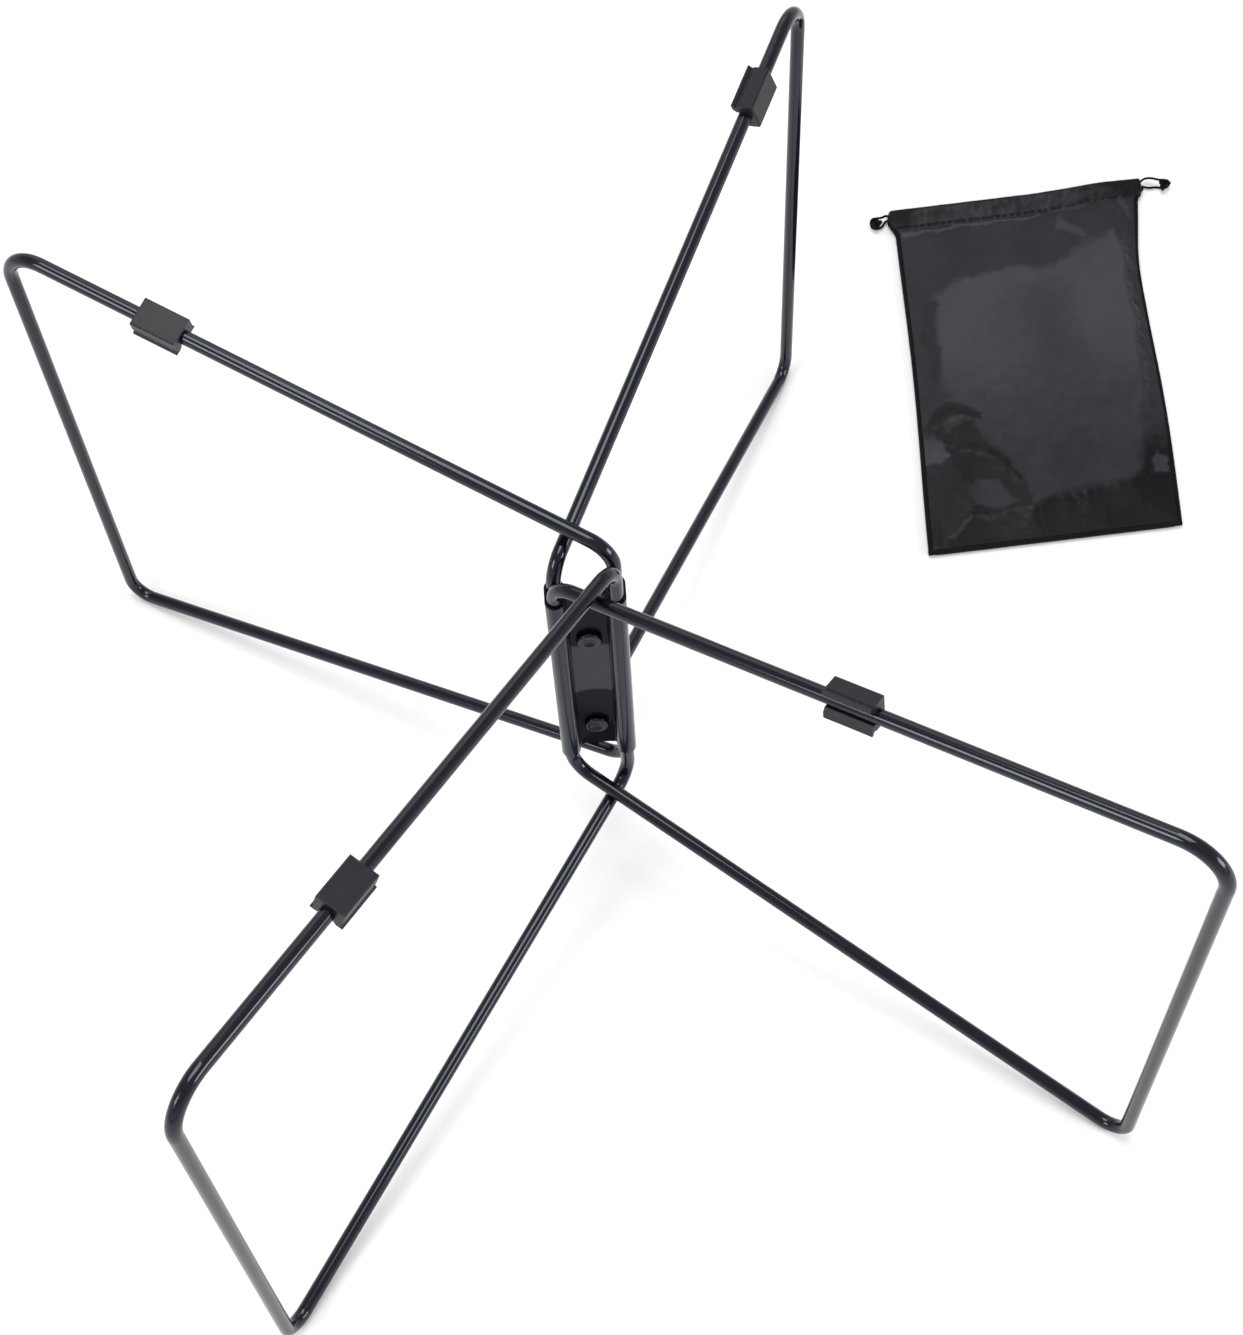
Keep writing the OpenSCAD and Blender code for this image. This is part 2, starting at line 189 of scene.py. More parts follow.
knot_steps = 24
tail_thickness = 1.9 * MM
tail_tip_share = 0.45
tail_reaches = (0.8, 2.1, 3.3)


def tie_knot(name, side, spot, size, turn, tails):
    """Lobes and two tails. Spot and size are in millimetres, turn and tails in degrees."""
    place = cord_end_frame(side) @ Matrix.Translation(Vector(spot) * MM)
    lobes = place @ Matrix.Rotation(math.radians(turn), 4, "Z")
    turns = [2 * math.pi * step / knot_steps for step in range(knot_steps)]
    loop = [lobes @ (trefoil(angle) * size * MM) for angle in turns]
    pieces = [tube_curve(name + "_knot", loop, 3 * size * MM, closed=True)]
    for number, degrees in enumerate(tails, start=1):
        angle = math.radians(degrees)
        way = Vector((math.cos(angle), math.sin(angle), -0.15)) * MM
        points = [place @ (way * reach) for reach in tail_reaches]
        tail = tube_curve(f"{name}_knot_tail_{number}", points, tail_thickness)
        tail.data.splines[0].bezier_points[-1].radius = tail_tip_share
        pieces.append(tail)
    return pieces


knots = {
    "left": tie_knot("left", -1, (8.5, -1.8, 3), 0.66, 16, (60, -85)),
    "right": tie_knot("right", 1, (10.6, -2.3, 3), 0.58, -20, (15, -115)),
}
print("a knot is", round(max(knots["left"][0].dimensions) / MM, 1), "mm across")

# %% [markdown]
# ## Shader maths in plain Python
# A material is a graph of nodes. Two small classes make it read as sums: `Value` wraps a node's output
# and turns + - * into Math nodes, and `Finish` adds any other node from its type, its settings and its
# inputs.

# %% Material helpers


class Value:
    """One output of a node, with Python's arithmetic."""

    def __init__(self, finish, socket):
        self.finish = finish
        self.socket = socket

    def math(self, operation, *others):
        values = dict(enumerate((self, *others)))
        return self.finish.node("ShaderNodeMath", {"operation": operation}, values)

    def __add__(self, other):
        return self.math("ADD", other)

    def __mul__(self, other):
        return self.math("MULTIPLY", other)

    def __sub__(self, other):
        return self.math("SUBTRACT", other)

    def __rsub__(self, other):
        return self.finish.node("ShaderNodeMath", {"operation": "SUBTRACT"}, {0: other, 1: self})

    __radd__ = __add__
    __rmul__ = __mul__


class Finish:
    """A material that is put together node by node."""

    def __init__(self, name):
        self.material = bpy.data.materials.new(name)
        self.material.use_nodes = True
        self.nodes = self.material.node_tree.nodes
        self.links = self.material.node_tree.links
        self.nodes.clear()

    def node(self, kind, settings=None, inputs=None, output=0):
        made = self.nodes.new(kind)
        for key, value in (settings or {}).items():
            setattr(made, key, value)
        for key, value in (inputs or {}).items():
            if isinstance(value, Value):
                self.links.new(value.socket, made.inputs[key])
            else:
                made.inputs[key].default_value = value
        return Value(self, made.outputs[output])

    def place(self, turn=0.0):
        """Coordinates on the piece, in metres, turned about the vertical."""
        where = self.node("ShaderNodeTexCoord", output="Object")
        return self.node("ShaderNodeMapping", inputs={"Vector": where, "Rotation": (0, 0, turn)})

    def noise(self, where, scale, detail=2.0, roughness=0.5):
        inputs = {"Vector": where, "Scale": scale, "Detail": detail, "Roughness": roughness}
        return self.node("ShaderNodeTexNoise", inputs=inputs)

    def mix(self, share, first, second):
        """A colour between two colours of red, green and blue."""
        inputs = {0: share, 6: (*first, 1), 7: (*second, 1)}
        return self.node("ShaderNodeMix", {"data_type": "RGBA"}, inputs, output=2)

    def bump(self, height, depth, normal=None):
        inputs = {"Height": height, "Distance": depth}
        if normal:
            inputs["Normal"] = normal
        return self.node("ShaderNodeBump", inputs=inputs)

    def end(self, shader):
        out = self.nodes.new("ShaderNodeOutputMaterial")
        self.links.new(shader.socket, out.inputs["Surface"])
        return self.material

    def surface(self, **inputs):
        """Ends the material with a Principled shader; an underscore stands for a space."""
        named = {key.replace("_", " "): value for key, value in inputs.items()}
        return self.end(self.node("ShaderNodeBsdfPrincipled", inputs=named))


def dress(node, material):
    """Gives a CAD node one material."""
    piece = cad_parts[node]
    piece.data.materials.clear()
    piece.data.materials.append(material)


print("helpers ready")

# %% [markdown]
# ## Black enamel on wire and hub
# The wires and the hub wear baked gloss enamel: nearly black with a breath of blue, smooth enough for
# sharp lines of light, with the faint ripple that sprayed paint has. A low bump from a soft noise makes the
# ripple, and a second, coarser noise changes the roughness a little from place to place.

# %% Enamel


def enamel(name, color, roughness, index, ripple, grain=350.0):
    finish = Finish(name)
    where = finish.place()
    wear = finish.noise(where, 60.0, detail=4.0)
    paint = finish.mix(wear, [part * 0.75 for part in color], [part * 1.3 for part in color])
    return finish.surface(
        Base_Color=paint,
        Roughness=wear * 0.06 + (roughness - 0.03),
        IOR=index,
        Specular_Tint=(0.86, 0.9, 1, 1),
        Normal=finish.bump(finish.noise(where, grain, detail=1.0), ripple),
    )


wire_enamel = enamel("wire_enamel", (0.004, 0.0045, 0.008), 0.12, 1.47, 0.00001)
rivet_enamel = enamel("rivet_enamel", (0.003, 0.0035, 0.008), 0.14, 1.38, 0.00006, grain=900.0)
leaves = [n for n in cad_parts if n.endswith("_leaf")]
for node in leaves:
    dress(node, wire_enamel)
for node in ("upper_rivet", "lower_rivet"):
    dress(node, rivet_enamel)
print(len(leaves), "wire loops enamelled")

# %% [markdown]
# ## The hub's paint
# The hub's enamel is a dark base under glossy lacquer, which is at its heaviest on the tubes. On the web a
# band between the rivets is painted reflection: its base colour is lighter and its lacquer heavier. Round
# the rivets the web is left dark and dull as painted shade, and the band ends in a shallow arc above the
# lower rivet.

# %% Hub enamel


def middle_height(node):
    low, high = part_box(node)
    return (low[2] + high[2]) / 2


web_half_width = 6.6 * MM
arc_rise = 1.8 * MM
# The band of painted reflection runs between these two heights, below the upper rivet and above the lower.
painted_band_top = middle_height("upper_rivet") - 4.5 * MM
painted_band_foot = middle_height("lower_rivet") + 22.8 * MM

finish = Finish("hub_enamel")
where = finish.place()
wear = finish.noise(where, 60.0, detail=4.0)
spot = finish.node("ShaderNodeSeparateXYZ", inputs={0: where})
across = spot.math("ABSOLUTE")
height = Value(finish, spot.socket.node.outputs["Z"])


def fade(value, start, end):
    """0 below start and 1 above end, with a soft change between them."""
    limits = {"Value": value, "From Min": start, "From Max": end}
    return finish.node("ShaderNodeMapRange", {"interpolation_type": "SMOOTHSTEP"}, limits)


arched_height = height + across * across * (arc_rise / web_half_width**2)
above_foot = fade(arched_height, painted_band_foot - 0.6 * MM, painted_band_foot + 0.6 * MM)
# 1 on the band of painted reflection and 0 round the rivets, where painted shade is left.
painted_band = above_foot * (1 - fade(height, painted_band_top - MM, painted_band_top + MM))
on_tube = fade(across, web_half_width - 0.3 * MM, web_half_width + 0.4 * MM)
tubes_and_painted_band = on_tube + painted_band * (1 - on_tube)
# The painted reflection lightens the base colour and weights the lacquer on the band; the tubes share it.
hub_enamel = finish.surface(
    Base_Color=finish.mix(tubes_and_painted_band * (wear * 0.6 + 0.7), (0.002, 0.003, 0.007), (0.004, 0.006, 0.017)),
    Roughness=wear * 0.1 + 0.3,
    IOR=1.12,
    Coat_Weight=tubes_and_painted_band * 0.65 + 0.1,
    Coat_Roughness=0.08,
    Coat_IOR=1.34,
    Normal=finish.bump(finish.noise(where, 350.0, detail=1.0), 0.00002),
)
for node in ("hub_front_plate", "hub_rear_plate"):
    dress(node, hub_enamel)
# Prints the heights between which the reflection is painted onto the web.
print("full paint from", round(painted_band_foot / MM), "to", round(painted_band_top / MM), "mm above the floor")

# %% [markdown]
# ## Moulded plastic
# The clips are satin black plastic, a shade greyer than the enamel, with the fine grain of a spark-eroded
# mould. A very fine noise as bump gives the grain.

# %% Clip plastic
finish = Finish("clip_plastic")
where = finish.place()
cloud = finish.noise(where, 120.0, detail=3.0)
clip_plastic = finish.surface(
    Base_Color=finish.mix(cloud, (0.007, 0.0075, 0.011), (0.011, 0.0115, 0.016)),
    Roughness=cloud * 0.12 + 0.36,
    IOR=1.36,
    Normal=finish.bump(finish.noise(where, 4000.0, detail=1.0), 0.00003),
)
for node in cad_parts:
    if node.endswith("_clip"):
        dress(node, clip_plastic)

# %% [markdown]
# ## Cloth, seam and cord finishes
# The bag is thin coated nylon. Its weave is far finer than a millimetre, so it shows as a soft sheen with
# a faint grid. Two wave textures at right angles, in the bag's own frame, make the weave. Light and shade
# are
# painted onto the cloth: a number on each vertex, the painted sheen, sets the colour, lighter where sheen
# is painted and darker where shade is painted. The seams and cords have none, so they keep their darkest
# colour.

# %% Nylon


def nylon(name, shaded, painted_sheen_color, roughness, index, sheen, thread, depth):
    """Coated nylon: the shaded colour, lightened towards the painted sheen colour by the painted sheen on
    its vertices.
    """
    finish = Finish(name)
    where = finish.place(turn=-bag_turn)
    waves = [
        finish.node(
            "ShaderNodeTexWave",
            {"bands_direction": axis, "wave_profile": "SIN"},
            {"Vector": where, "Scale": 1 / thread / 20, "Distortion": 0.3, "Detail": 0.0},
        )
        for axis in ("X", "Y")
    ]
    cloud = finish.noise(where, 30.0, detail=4.0)
    blotch = finish.noise(where, 220.0, detail=4.0, roughness=0.6)
    crease = finish.noise(where, 140.0, detail=5.0, roughness=0.6)
    # The painted sheen on each vertex: painted light on the flat facets, painted shade in the folds.
    painted_sheen = finish.node("ShaderNodeAttribute", {"attribute_name": "painted_sheen"}, output="Fac")
    share = painted_sheen * (cloud * 0.3 + blotch * 0.35 + 0.68)
    normal = finish.bump(crease, 0.00025, normal=finish.bump(waves[0] * waves[1], depth))
    return finish.surface(
        Base_Color=finish.mix(share, shaded, painted_sheen_color),
        Roughness=cloud * 0.12 + (roughness - 0.06),
        Normal=normal,
        IOR=index,
        Sheen_Weight=sheen,
        Sheen_Roughness=0.4,
    )


# The second colour of each is reached where the painted sheen is full.
bag_nylon = nylon(
    "bag_nylon", (0.0036, 0.003, 0.0045), (0.041, 0.043, 0.05),
    roughness=0.4, index=1.22, sheen=0.02, thread=0.4 * MM, depth=0.000008,
)
seam_nylon = nylon(
    "seam_nylon", (0.002, 0.002, 0.0025), (0.01, 0.01, 0.011),
    roughness=0.55, index=1.2, sheen=0.0, thread=0.5 * MM, depth=0.00005,
)
cord_braid = nylon(
    "cord_braid", (0.002, 0.002, 0.0022), (0.01, 0.01, 0.011),
    roughness=0.6, index=1.2, sheen=0.0, thread=0.6 * MM, depth=0.0001,
)

# %% [markdown]
# ## The bag's outline
# An empty bag is two panels sewn round three sides. Its outline is nearly a parallelogram, with its right
# edge drawn in below the hem and its left hem end pulled out by the cord.

# %% Bag outline


def smooth(value, low, high):
    """0 below low and 1 above high, with a soft change between them."""
    share = min(max((value - low) / (high - low), 0), 1)
    return share * share * (3 - 2 * share)


def left_edge(along):
    """x of the left edge, along from the bottom seam."""
    share = along / bag_length
    pulled = 3.2 * smooth(along, bag_length - 15 * MM, bag_length - 6 * MM)
    pulled -= 0.9 * smooth(along, bag_length - 5 * MM, bag_length - 2 * MM)
    waist = 1.2 * math.sin(math.pi * share) ** 2
    return bag_middle(along) - bag_half_width(along) + (waist - pulled) * MM


def right_edge(along):
    share = along / bag_length
    waist = 3.6 * math.sin(math.pi * share**1.8) ** 2
    waist += 1.0 * smooth(share, 0.6, 0.8) * (1 - smooth(share, 0.94, 0.965))
    pulled = 1.1 * smooth(along, bag_length - 9 * MM, bag_length - 6 * MM)
    pulled -= 0.5 * smooth(along, bag_length - 4.5 * MM, bag_length)
    return bag_middle(along) + bag_half_width(along) + (pulled - waist) * MM


def mouth_wave(across):
    """How far the mouth's edge runs ahead of a straight line, in metres."""
    dip = math.exp(-(((across - 0.45) / 0.2) ** 2))
    crest = math.exp(-(((across - 0.84) / 0.1) ** 2))
    return max(0.7 * crest - 1.0 * dip + 2.0 * across - 1.4, -0.9) * MM


print("the bag's waist is", round((right_edge(0.1) - left_edge(0.1)) / MM, 1), "mm wide")

# %% [markdown]
# ## Folds and facets
# Thin coated cloth lies in flat facets with crisp folds between them. Light and shade are painted onto it:
# a painted sheen on the facets that catch the light, and painted shade in the folds. A facet is an outline
# of a few corners, given as shares of the bag's width and length, with its painted sheen; a fold is a ridge
# along a line. A slow noise shifts every place a little before it is compared with them, so no edge comes
# out straight.

# %% Facets and folds
cloth_width = 107  # millimetres
flat_middle = [
    (0.12, 0.71), (0.20, 0.74), (0.35, 0.765), (0.50, 0.765), (0.62, 0.75), (0.70, 0.785),
    (0.78, 0.82), (0.90, 0.84), (0.935, 0.80), (0.93, 0.60), (0.90, 0.25), (0.85, 0.15),
    (0.80, 0.125), (0.60, 0.115), (0.50, 0.11), (0.42, 0.09), (0.40, 0.15), (0.36, 0.20),
    (0.30, 0.25), (0.25, 0.35), (0.13, 0.40), (0.115, 0.50),
]
# Each facet has its painted sheen, the width in millimetres over which it fades out, and its corners.
facets = [
    (0.78, 2, [
        (0.685, 0.918), (0.70, 0.885), (0.73, 0.872), (0.80, 0.85), (0.78, 0.83), (0.74, 0.845),
        (0.70, 0.862), (0.645, 0.88), (0.66, 0.895),
    ]),
    (0.42, 2, [
        (0.69, 0.935), (0.76, 0.94), (0.86, 0.915), (0.88, 0.895), (0.86, 0.85), (0.80, 0.84),
        (0.72, 0.88),
    ]),
    (0.33, 2.5, [
        (0.05, 0.46), (0.09, 0.46), (0.12, 0.60), (0.115, 0.69), (0.07, 0.69), (0.05, 0.60),
    ]),
    (0.1, 2.2, [
        (0.02, 0.33), (0.06, 0.37), (0.13, 0.395), (0.22, 0.37), (0.27, 0.355), (0.23, 0.32),
        (0.25, 0.28), (0.30, 0.25), (0.37, 0.19), (0.41, 0.14), (0.41, 0.09), (0.36, 0.10),
        (0.31, 0.17), (0.25, 0.18), (0.17, 0.165), (0.13, 0.22), (0.09, 0.30),
    ]),
    (0.38, 1.6, [
        (0.10, 0.335), (0.13, 0.36), (0.18, 0.35), (0.17, 0.33), (0.12, 0.32),
    ]),
    (0.2, 2.5, [
        (0.0, 0.235), (0.10, 0.24), (0.14, 0.21), (0.17, 0.165), (0.18, 0.10), (0.14, 0.07),
        (0.07, 0.0), (0, 0),
    ]),
    (0.85, 2, [
        (0.0, 0.315), (0.05, 0.305), (0.10, 0.29), (0.13, 0.25), (0.09, 0.242), (0.03, 0.235),
        (0, 0.245),
    ]),
    (0.47, 2.4, [
        (0.17, 0.16), (0.22, 0.175), (0.29, 0.17), (0.32, 0.14), (0.36, 0.10), (0.30, 0.095),
        (0.19, 0.11),
    ]),
    (0.05, 1.2, [
        (0.87, 0.165), (0.90, 0.20), (0.94, 0.215), (0.95, 0.20), (0.90, 0.175),
    ]),
    (0.65, 1.2, [
        (0.90, 0.165), (0.93, 0.19), (0.98, 0.18), (0.98, 0.14), (0.92, 0.145),
    ]),
    (0.5, 0.8, [
        (0.10, 0.03), (0.16, 0.08), (0.18, 0.085), (0.12, 0.025),
    ]),
    (1.1, 0.9, [
        (0.02, 0.914), (0.03, 0.926), (0.35, 0.93), (0.60, 0.934), (0.61, 0.926), (0.35, 0.92),
    ]),
    (0.7, 1.2, [
        (0.62, 0.93), (0.70, 0.946), (0.80, 0.948), (0.79, 0.938), (0.72, 0.936),
    ]),
    (0.75, 1.2, [
        (0.865, 0.972), (0.885, 0.975), (0.985, 0.90), (0.975, 0.89),
    ]),
]
# Each fold has its two ends, and its height and half width in millimetres.
folds = [
    ((0.12, 0.71), (0.35, 0.765), 0.3, 2.5),
    ((0.35, 0.765), (0.62, 0.752), 0.3, 2.5),
    ((0.62, 0.752), (0.78, 0.82), 0.35, 2),
    ((0.66, 0.91), (0.72, 0.86), 0.5, 1.8),
    ((0.72, 0.86), (0.80, 0.83), 0.5, 1.8),
    ((0.02, 0.918), (0.60, 0.928), 0.5, 1.3),
    ((0.02, 0.33), (0.12, 0.36), 0.5, 1.8),
    ((0.12, 0.36), (0.24, 0.34), 0.5, 1.8),
    ((0.10, 0.30), (0.25, 0.25), 0.5, 2),
    ((0.25, 0.25), (0.37, 0.17), 0.5, 2),
    ((0.0, 0.30), (0.12, 0.26), 0.4, 2),
    ((0.17, 0.16), (0.19, 0.10), 0.4, 2),
    ((0.11, 0.035), (0.17, 0.085), 0.6, 1.3),
    ((0.17, 0.085), (0.42, 0.09), 0.4, 1.8),
    ((0.42, 0.09), (0.50, 0.112), 0.35, 2.2),
    ((0.50, 0.112), (0.82, 0.128), 0.3, 2.2),
    ((0.87, 0.17), (0.95, 0.21), 0.6, 1.3),
    ((0.90, 0.15), (0.98, 0.13), 0.5, 1.3),
    ((0.93, 0.85), (0.93, 0.60), 0.35, 2),
    ((0.93, 0.60), (0.90, 0.30), 0.35, 2.2),
    ((0.85, 0.955), (0.97, 0.88), 0.6, 1.8),
    ((0.90, 0.97), (0.99, 0.91), 0.4, 1.5),
    ((0.03, 0.01), (0.035, 0.08), 0.5, 1.2),
]


def on_cloth(spot):
    """A share of width and length as millimetres on the cloth."""
    return Vector((spot[0] * cloth_width, spot[1] * bag_length / MM))


def distance_to(here, start, end):
    run = end - start
    share = min(max((here - start).dot(run) / run.length_squared, 0), 1)
    return (here - start - run * share).length


class Facet:
    """An outline on the cloth that can say how far inside it a place lies."""

    def __init__(self, outline):
        self.corners = [on_cloth(spot) for spot in outline]
        self.low = Vector((min(c.x for c in self.corners), min(c.y for c in self.corners)))
        self.high = Vector((max(c.x for c in self.corners), max(c.y for c in self.corners)))

    def depth(self, here):
        """Distance in millimetres to the outline, above 0 inside it and below 0 outside."""
        inside, nearest = False, math.inf
        for a, b in zip(self.corners, self.corners[1:] + self.corners[:1]):
            nearest = min(nearest, distance_to(here, a, b))
            if (a.y > here.y) != (b.y > here.y):
                crossing = a.x + (here.y - a.y) * (b.x - a.x) / (b.y - a.y)
                inside = inside != (here.x < crossing)
        return nearest if inside else -nearest

    def is_near(self, here, reach):
        """Whether a place is within reach of the box round the outline."""
        past_low = here.x > self.low.x - reach and here.y > self.low.y - reach
        return past_low and here.x < self.high.x + reach and here.y < self.high.y + reach

    def share(self, here, fade):
        """1 inside the outline and 0 outside, with a soft edge."""
        return smooth(self.depth(here), -fade / 2, fade / 2) if self.is_near(here, fade) else 0


middle_facet = Facet(flat_middle)
cloth_facets = [(Facet(outline), painted_sheen, fade) for painted_sheen, fade, outline in facets]
cloth_folds = [(on_cloth(a), on_cloth(b), height, half_width) for a, b, height, half_width in folds]
print(len(facets) + 1, "facets and", len(folds), "folds")

# %% [markdown]
# ## Height and painted sheen
# Two functions of the place on the cloth use those lists. The height rises from the seams over a few
# millimetres, is level in the flat middle and carries the folds. The painted sheen, light and shade painted
# onto the cloth, becomes a number on each vertex, which the nylon's material reads. Both are uneven by a
# noise that depends on the place.

# %% Height and painted sheen
shift_scales = ((0.09, 2.2), (0.3, 1.1), (0.8, 0.6))
# Painted sheen levels: little near the seams, more towards the top and in the flat middle.
seam_shade, top_shade = 0.05, 0.36
low_middle, high_middle = 0.48, 0.5


def hem_line(across):
    """The line of stitches below the hem, which is deeper on the left."""
    return bag_length - (10.9 - 2.2 * smooth(across, 0.55, 0.85)) * MM


def uneven(*place):
    """Noise of about -1 to 1 at a place of three numbers."""
    return noise.noise(Vector(place))


def shifted(across, along):
    """The place in millimetres on the cloth, moved by a slow noise."""
    here = on_cloth((across, along / bag_length))
    for scale, amount in shift_scales:
        here.x += amount * uneven(here.x * scale, here.y * scale, 1.7)
        here.y += amount * uneven(here.x * scale, here.y * scale, 6.1)
    return here


def cloth_height(across, along, here):
    """Height in metres of the front panel, here being the shifted place."""
    from_side = min(across, 1 - across) * cloth_width
    from_edge = min(from_side, along / MM, max((hem_line(across) - along) / MM * 1.4, 0) + 2)
    away = max(-middle_facet.depth(here), 0)
    slope = from_edge / (from_edge + away) if away else 1
    near_seam = smooth(min(from_side, along / MM), 0, 5)
    near = (h * math.exp(-((distance_to(here, a, b) / w) ** 2)) for a, b, h, w in cloth_folds)
    ripple = 0.3 * uneven(across * 5, along * 40, 0.3) + 0.15 * uneven(across * 14, along * 120, 4.7)
    return (2.3 + 3.1 * slope + (max(near) + ripple) * near_seam) * MM


def cloth_painted_sheen(across, along, here):
    """Painted sheen: 0 where the folds are painted in darkest shade and 1 where the sheen is painted
    brightest.
    """
    share = along / bag_length
    edge_tone = seam_shade + top_shade * smooth(share, 0.17, 0.32)
    # A stripe of painted shade along the bag, right of the middle, that stops below the upper fold.
    painted_shade_stripe = 0.5 * math.exp(-(((across - 0.58) / 0.14) ** 2)) * (1 - smooth(share, 0.66, 0.76))
    middle_tone = low_middle + high_middle * smooth(share, 0.22, 0.62) * (1 - painted_shade_stripe)
    tone = edge_tone + (middle_tone - edge_tone) * smooth(middle_facet.depth(here), -2.5, 2.5)
    for facet, painted_sheen, fade in cloth_facets:
        tone += (painted_sheen - tone) * facet.share(here, fade)
    mottled = smooth(share, 0.1, 0.25) * (1 - smooth(share, 0.4, 0.5))
    spots = uneven(across * 14, along * 190, 7.3) + 0.6 * uneven(across * 40, along * 320, 1.9)
    return tone + 0.1 * uneven(across * 6, along * 40, 2.2) + (0.03 + 0.08 * mottled) * spots


def into_hem(across, along):
    """0 at the stitches and 1 at the mouth."""
    return (along - hem_line(across)) / (bag_length - hem_line(across))


def hem_height(across, along):
    """Height in metres of the hem: level over the cords, with small puckers below them."""
    into = min(max(into_hem(across, along), 0), 1)
    pucker = uneven(across * 34, into * 2.6, 9.4) + 0.6 * uneven(across * 75, into * 4, 3.1)
    over_cords = smooth(into, 0.12, 0.32)
    puckers = 0.42 * pucker * math.sin(math.pi * into) * (1 - over_cords)
    return (3.7 + puckers + (0.9 + 0.1 * pucker) * over_cords) * MM


def hem_painted_sheen(across, along):
    """Painted sheen on the hem, with painted shade at its gathered ends and along its edge."""
    into = into_hem(across, along)
    left_gather = smooth(across - 0.03 * into, 0.05, 0.13)
    right_gather = 1 - smooth(across + 0.1 * into, 0.86, 0.95)
    wrinkle = uneven(across * 60, into * 3, 5.5) + uneven(across * 12, into * 2, 1.1)
    edge = 1 - smooth(into, 0.8, 0.9)
    return max((0.4 + 0.32 * wrinkle) * left_gather * right_gather * edge, 0)


middle_height_mm = cloth_height(0.5, 0.09, shifted(0.5, 0.09)) / MM
print("the cloth lies", round(middle_height_mm, 1), "mm high in the middle")

# %% [markdown]
# ## The two panels
# Each panel is a fine grid from `create_grid`, whose vertices are then moved to the outline and the height.
# A Solidify modifier gives the cloth its thickness. The hem is the panel's top strip turned over its cords,
# so there the height stays over the cords and dips at the line of stitches, which show as short dark
# dashes.

# %% Panels
cloth_thickness = 0.25 * MM
grid_inset = 0.3 * MM
mouth_reach = 22 * MM
stitch_step = 3 * MM
stitch_length = 2 * MM
stitch_half_width = 0.5 * MM
stitch_paleness = 0.2


def front_place(across, along):
    """Height and painted sheen of the front panel."""
    here = shifted(across, along)
    stitches = hem_line(across)
    hem = smooth(along, stitches - 1.2 * MM, stitches + 0.8 * MM)
    height = cloth_height(across, along, here) * (1 - hem) + hem_height(across, along) * hem
    height -= 0.5 * MM * math.exp(-(((along - stitches) / (0.8 * MM)) ** 2))
    height -= 1.5 * MM * smooth(along, bag_length - 0.9 * MM, bag_length)
    height -= 1.3 * MM * (1 - smooth(min(across, 1 - across), 0, 0.008))
    tone = cloth_painted_sheen(across, along, here) * (1 - hem) + hem_painted_sheen(across, along) * hem
    in_stitch = (across * cloth_width * MM) % stitch_step < stitch_length
    if in_stitch and abs(along - stitches) < stitch_half_width:
        tone *= stitch_paleness
    return height, tone


def rear_height(across, share):
    """Height in metres of the rear panel, which rises only at its sides."""
    lift = uneven(across * 6, share * 9, 8.1) + 0.6
    return (0.35 + 0.25 * max(lift, 0) + 1.2 * (1 - smooth(min(across, 1 - across), 0, 0.04))) * MM


def panel(name, front, columns, rows):
    """One panel of the bag as a grid of columns and rows, with its painted sheen on the vertices."""
    data = bpy.data.meshes.new(name)
    made = bmesh.new()
    painted_sheen = made.verts.layers.float.new("painted_sheen")
    bmesh.ops.create_grid(made, x_segments=columns, y_segments=rows, size=0.5)
    for vert in made.verts:
        across, share = vert.co.x + 0.5, vert.co.y + 0.5
        along = share * (bag_length - 2 * grid_inset) + grid_inset
        y = along + mouth_wave(across) * smooth(along, bag_length - mouth_reach, bag_length)
        x = left_edge(y) + across * (right_edge(y) - left_edge(y))
        if front:
            z, vert[painted_sheen] = front_place(across, along)
        else:
            z = rear_height(across, share)
        vert.co = bag_frame @ Vector((x, y, z))
    made.to_mesh(data)
    made.free()
    data.shade_smooth()
    piece = bpy.data.objects.new(name, data)
    bpy.context.scene.collection.objects.link(piece)
    thick = piece.modifiers.new("cloth", "SOLIDIFY")
    thick.thickness = cloth_thickness
    thick.offset = -1 if front else 1
    data.materials.append(bag_nylon)
    return piece


front_panel = panel("bag_front_cloth", True, 160, 290)
rear_panel = panel("bag_rear_cloth", False, 60, 110)
print("the front panel has", len(front_panel.data.vertices), "vertices")

# %% [markdown]
# ## Seams
# Where the panels meet, their edges are folded in and sewn. The seam is a narrow flattened roll, so it is a
# curve along the edge with an oval bevel.

# %% Seams
seam_width = 2.2 * MM
seam_height = 2.1 * MM
seam_inset = 1.0 * MM
seam_level = 1.9 * MM
seam_start = 0.8 * MM
side_steps = 90
bottom_steps = 40


def seam_roll(name, points):
    """A flattened roll along points: a tube first, then squashed towards its own line."""
    data = bpy.data.curves.new(name, "CURVE")
    data.dimensions = "3D"
    data.bevel_depth = seam_width / 2
    data.bevel_resolution = 3
    data.use_fill_caps = True
    spline = data.splines.new("POLY")
    spline.points.add(len(points) - 1)
    for point, place in zip(spline.points, points):
        point.co = (*place, 1)
    curve = bpy.data.objects.new(name, data)
    bpy.context.scene.collection.objects.link(curve)
    bpy.context.view_layer.update()
    mesh = bpy.data.meshes.new_from_object(curve)
    bpy.data.objects.remove(curve)
    middle = sum(p.z for p in points) / len(points)
    for vert in mesh.vertices:
        vert.co.z = middle + (vert.co.z - middle) * seam_height / seam_width
    for face in mesh.polygons:
        face.use_smooth = True
    mesh.materials.clear()
    mesh.materials.append(seam_nylon)
    piece = bpy.data.objects.new(name, mesh)
    bpy.context.scene.collection.objects.link(piece)
    return piece


